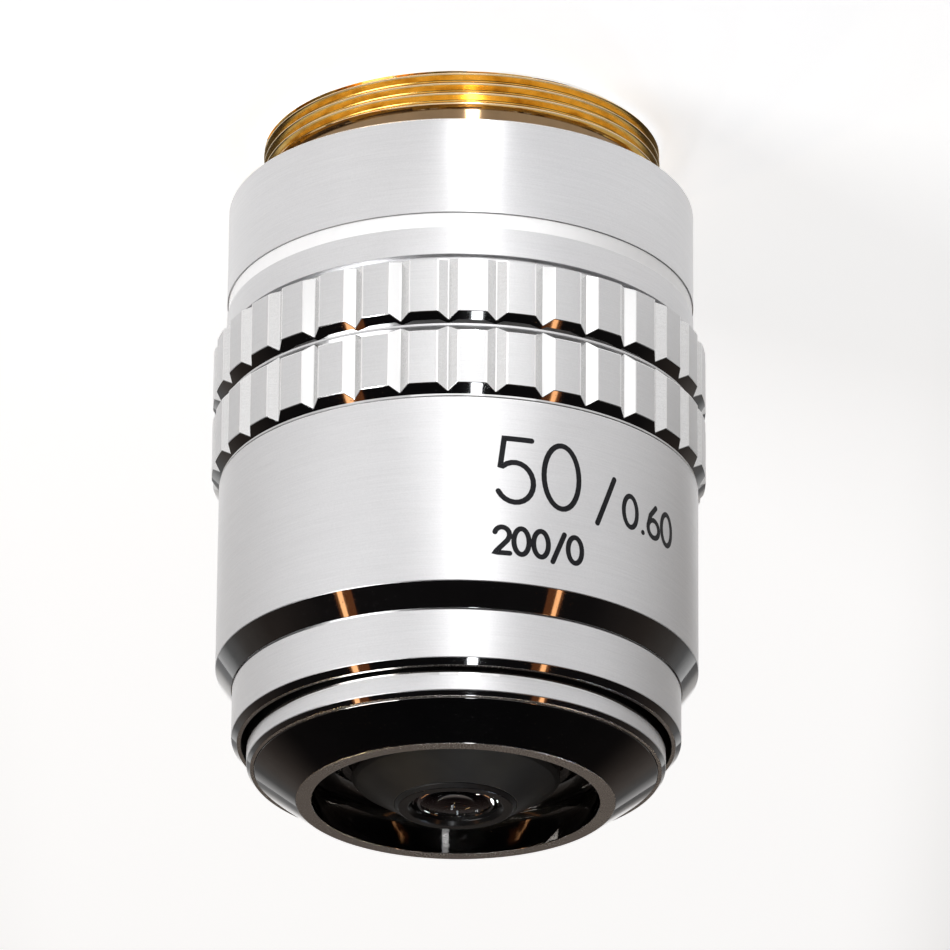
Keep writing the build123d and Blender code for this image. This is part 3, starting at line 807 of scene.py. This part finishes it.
# ---------------------------------------------------------------- light
def area(name, place, aim, size, power, color=(1, 1, 1), roll=None):
    """A rectangular lamp at place, turned to aim. All lengths are in mm."""
    data = bpy.data.lights.new(name, "AREA")
    data.shape = "RECTANGLE"
    data.size, data.size_y = size[0] * MM, size[1] * MM
    data.energy = power
    data.color = color
    o = bpy.data.objects.new(name, data)
    o.location = Vector(place) * MM
    ahead = (Vector(aim) - Vector(place)).normalized()
    turn = ahead.to_track_quat("-Z", "Y")
    if roll is not None:
        z = -ahead
        y = Vector(roll).normalized()
        y = (y - z * y.dot(z)).normalized()
        turn = Matrix((y.cross(z), y, z)).transposed().to_quaternion()
    o.rotation_euler = turn.to_euler()
    o.visible_camera = False
    bpy.context.scene.collection.objects.link(o)


def direction(azimuth, elevation):
    """Unit vector, with azimuth counted from -Y towards +X."""
    a, e = math.radians(azimuth), math.radians(elevation)
    return Vector((math.sin(a) * math.cos(e), -math.cos(a) * math.cos(e), math.sin(e)))


def lamp(name, low, high, distance, width, power, color):
    """A narrow lamp that stands between two directions, low and high."""
    aim = Vector((0, 0, 25))
    a, b = direction(*low) * distance, direction(*high) * distance
    area(name, (a + b) / 2 + aim, aim, (width, (b - a).length), power, color, roll=(b - a))


# Leaning strips low in front that draw the streak down the satin metal. Each one reaches
# from its near to its far distance.
STRIP_LEAN = math.tan(math.radians(7))
for i, (near, far, wide, power) in enumerate((
        (28, 48, 5, 0.0007), (48, 74, 10, 0.0021), (74, 120, 22, 0.0085),
        (40, 130, 62, 0.0100), (17, 29, 1.5, 0.0016))):
    middle = (near + far) / 2
    x = -0.9 - STRIP_LEAN * (middle - 15)
    area("front_strip_%d" % i, (x, -middle, Z_REAR + 0.6), (x, -middle, 60),
         (wide, far - near), power, roll=(-STRIP_LEAN, -1, 0))

WARM_HALO, COOL_WHITE = (1.0, 0.30, 0.08), (0.94, 0.97, 1.0)
lamp("warm_lamp_left", (62, 35), (76, 60), 420, 15, 0.017, (1.0, 0.50, 0.22))
lamp("warm_halo_left", (60, 33), (74, 62), 440, 54, 0.0055, WARM_HALO)
lamp("warm_lamp_right", (-53, 35), (-66, 62), 420, 14, 0.015, (1.0, 0.48, 0.20))
lamp("warm_halo_right", (-51, 33), (-64, 62), 440, 48, 0.0045, WARM_HALO)
area("soft_key", direction(50, 27) * 430, (0, 0, 15), (210, 120), 0.72, roll=(0, 0, 1))
area("top_strip_front", (-38, -166, 420), (0, 0, 18), (24, 130), 0.055, COOL_WHITE,
     roll=(0.1, 1, 0.35))
area("top_strip_rear", (-27, 72, 450), (0, 0, 0), (22, 120), 0.060, COOL_WHITE,
     roll=(0.05, 1, 0))

# Small lamps behind that glint in the cone, the front cell and the front lens.
for i, (azimuth, elevation, size, power, color) in enumerate((
        (160, 50, 12, 0.050, (1.0, 0.80, 0.52)), (178, 56, 11, 0.040, (0.95, 0.97, 1.0)),
        (192, 45, 10, 0.036, (1.0, 0.86, 0.66)), (208, 54, 12, 0.050, (0.66, 0.80, 1.0)),
        (140, 60, 12, 0.040, (1.0, 0.74, 0.42)), (226, 62, 12, 0.036, (1.0, 0.84, 0.60)))):
    area("glint_%d" % i, direction(azimuth, elevation) * 410, (0, 0, 38), (size, size),
         power, color)


# ---------------------------------------------------------------- surroundings
def make_world():
    """A pale horizon under a dark ceiling, with a faint brown wall at the rear."""
    world = bpy.data.worlds.new("studio")
    bpy.context.scene.world = world
    world.use_nodes = True
    g = Graph(world.node_tree)
    _, y, z = g.split(g.node("ShaderNodeTexCoord").outputs["Generated"])
    height = g.math("MULTIPLY", g.math("ADD", z, 1.0), 0.5)
    sky = g.ramp(height, [
        (0.50, grey(0.55)), (0.52, grey(0.38)), (0.56, grey(0.12)), (0.62, (0.06, 0.054, 0.05)),
        (0.70, (0.03, 0.024, 0.021)), (0.80, (0.008, 0.007, 0.007)),
        (1.0, (0.004, 0.004, 0.0045))])
    brown = (0.050, 0.043, 0.039)
    wall = g.ramp(height, [(0.56, grey(0)), (0.62, brown), (0.76, brown), (0.84, grey(0))])
    sky = g.mix(g.rise(y, 0.55, 0.90), sky, wall, "ADD")
    back = g.node("ShaderNodeBackground", {"Color": sky, "Strength": 1.0})
    out = g.node("ShaderNodeOutputWorld")
    g.tree.links.new(back.outputs[0], out.inputs[0])


make_world()


# ---------------------------------------------------------------- camera
def make_camera():
    """The photograph looks at the object thread end up, from the front lens side. The focal
    length, the centre and the place of the target are in pixels of the picture."""
    picture, focal, sensor = 950, 9143.0, 36.0
    centre, target_x, target_y = 475, 458.6, 492.6
    distance, tilt, turn = 591.5, math.radians(23.2), math.radians(0.55)
    target = Vector((0, 0, 19.62))
    eye = Vector((0, -distance * math.cos(tilt), target.z + distance * math.sin(tilt)))
    forward = (target - eye).normalized()
    right = forward.cross(Vector((0, 0, -1))).normalized()
    up = right.cross(forward)
    right, up = (right * math.cos(turn) + up * math.sin(turn),
                 up * math.cos(turn) - right * math.sin(turn))
    per_mm = focal / distance
    shift = right * ((centre - target_x) / per_mm) + up * ((target_y - centre) / per_mm)
    forward = (target + shift - eye).normalized()
    right = (right - forward * right.dot(forward)).normalized()
    up = right.cross(forward)
    data = bpy.data.cameras.new("camera")
    data.sensor_width = sensor
    data.lens = focal / picture * sensor
    data.clip_start = 0.01
    data.clip_end = 20.0
    camera = bpy.data.objects.new("camera", data)
    turned = Matrix((right, up, -forward)).transposed().to_4x4()
    camera.matrix_world = Matrix.Translation(eye * MM) @ turned
    bpy.context.scene.collection.objects.link(camera)
    bpy.context.scene.camera = camera


make_camera()
bpy.context.scene.view_settings.view_transform = "Standard"
bpy.context.scene.view_settings.look = "None"
bpy.context.scene.cycles.max_bounces = 12
